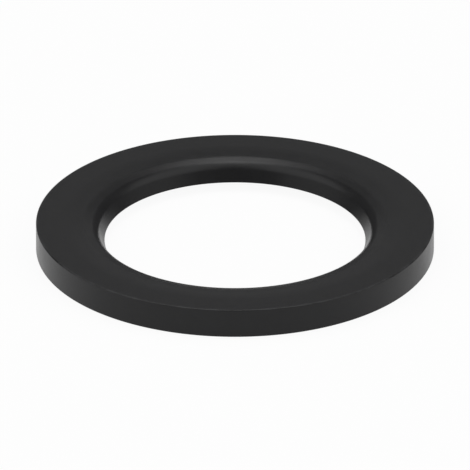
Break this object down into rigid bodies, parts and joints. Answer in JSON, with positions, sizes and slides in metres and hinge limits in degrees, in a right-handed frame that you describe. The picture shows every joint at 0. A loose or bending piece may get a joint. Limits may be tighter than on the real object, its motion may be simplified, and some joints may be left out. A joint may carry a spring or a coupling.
{
  "type": "flush valve seal",
  "caption": "Flat black rubber ring that seals the foot of a cistern's flush valve, with a wide hole and a rounded, thinner inner lip.",
  "frame": {"origin": "centre of the ring's underside, on the turning axis, at the level of the surface the ring lies on", "axes": "+Z is the turning axis, up through the hole to the tapered top face; the ring is the same all round, so +X and +Y are any two radii"},
  "size_m": [0.063, 0.063, 0.0047],
  "materials": {
    "black_rubber": "satin black moulded rubber, clean and unmarked, with a fine even grain"
  },
  "bodies": {
    "root": {"seal_ring": "black_rubber"}
  },
  "joints": []
}
